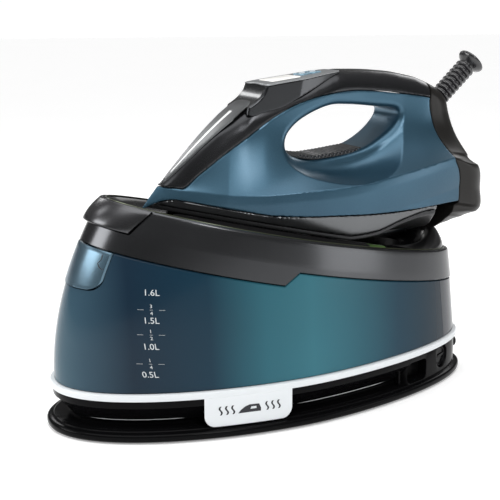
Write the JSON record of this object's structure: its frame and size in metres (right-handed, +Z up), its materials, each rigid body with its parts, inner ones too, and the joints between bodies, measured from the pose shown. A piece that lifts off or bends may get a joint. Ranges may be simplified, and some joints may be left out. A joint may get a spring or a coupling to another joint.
{
  "type": "steam generator iron",
  "caption": "Pressurised steam ironing station: boat-shaped base with water jacket and hose groove, and a lift-off iron resting nose-up in its cradle.",
  "frame": {"origin": "centre of the whole object's box at floor level, feet undersides at z = 0", "axes": "-X towards the pointed front and the iron's nose, +Y to the left side, +Z up"},
  "size_m": [0.4004, 0.1714, 0.2848],
  "materials": {
    "plinth": "gloss black",
    "foot": "matt",
    "trim": "white gloss",
    "tank": "translucent teal, polished",
    "housing": "gloss navy",
    "band": "gloss charcoal",
    "tray": "matt black",
    "blue": "metallic steel blue lacquer",
    "cover": "gloss black",
    "silver": "silver grey",
    "window": "pearl",
    "ice": "icy blue",
    "sole": "polished",
    "gunmetal": "gunmetal",
    "alu": "cast",
    "rubber": "matt",
    "green": "silicone",
    "copper": "machined",
    "board": "solder mask",
    "silicone": "silicone",
    "steel": "drawn",
    "heel": "satin charcoal"
  },
  "bodies": {
    "station": {"plinth": "plinth", "foot_1": "foot", "foot_2": "foot", "foot_3": "foot", "foot_4": "foot", "trim_strip": "trim", "mains_bushing": "rubber", "hose_bushing": "rubber", "water_tank": "tank", "rear_housing": "housing", "chassis": "tray", "rim_band": "band", "cradle_tray": "tray", "rest_pad_1": "rubber", "rest_pad_2": "rubber", "rest_pad_3": "rubber", "rest_pad_4": "rubber", "rest_pad_5": "green", "rest_pad_6": "green", "boiler": "steel", "boiler_foot_1": "alu", "boiler_foot_2": "alu", "steam_valve": "copper", "pump": "tray", "pump_cradle": "alu", "control_board": "board", "water_hose": "silicone"},
    "iron": {"iron_shell": "blue", "soleplate": "sole", "iron_skirt": "gunmetal", "steam_chamber": "alu", "thermal_fuse": "silicone", "steam_inlet": "copper", "top_cover": "cover", "nose_plate": "silver", "light_strip": "trim", "control_pod": "silver", "display_window": "window", "heel_cover": "heel", "saddle_pad": "rubber"},
    "knob": {"descale_knob": "plinth"},
    "door": {"fill_door": "blue"},
    "hood": {"lock_hood": "band"},
    "steam_key": {"button_steam": "ice"},
    "mode_key": {"button_mode": "ice"},
    "boot": {"hose_boot": "rubber"}
  },
  "joints": [
    {"name": "iron_lift", "type": "slide", "parent": "station", "child": "iron", "axis": [0.2008, 0, 0.9796], "range_m": [0, 0.12]},
    {"name": "door_hinge", "type": "hinge", "parent": "station", "child": "door", "pos_m": [-0.168, 0, 0.1462], "axis": [0, 1, 0], "range_deg": [0, 65]},
    {"name": "hood_hinge", "type": "hinge", "parent": "station", "child": "hood", "pos_m": [-0.1212, 0, 0.168], "axis": [0, 1, 0], "range_deg": [0, 24]},
    {"name": "knob_turn", "type": "hinge", "parent": "station", "child": "knob", "pos_m": [0.1385, -0.03929, 0.0222], "axis": [0.4669, -0.8843, 0], "range_deg": [0, 90]},
    {"name": "steam_key_press", "type": "slide", "parent": "iron", "child": "steam_key", "axis": [0.1217, 0, -0.9926], "range_m": [0, 0.0012], "stiffness_N_per_m": 300, "springref_m": -0.001},
    {"name": "mode_key_press", "type": "slide", "parent": "iron", "child": "mode_key", "axis": [0.1217, 0, -0.9926], "range_m": [0, 0.0012], "stiffness_N_per_m": 300, "springref_m": -0.001},
    {"name": "boot_swivel", "type": "hinge", "parent": "iron", "child": "boot", "pos_m": [0.15275, 0, 0.23987], "axis": [0, 1, 0], "range_deg": [-12, 12]}
  ]
}
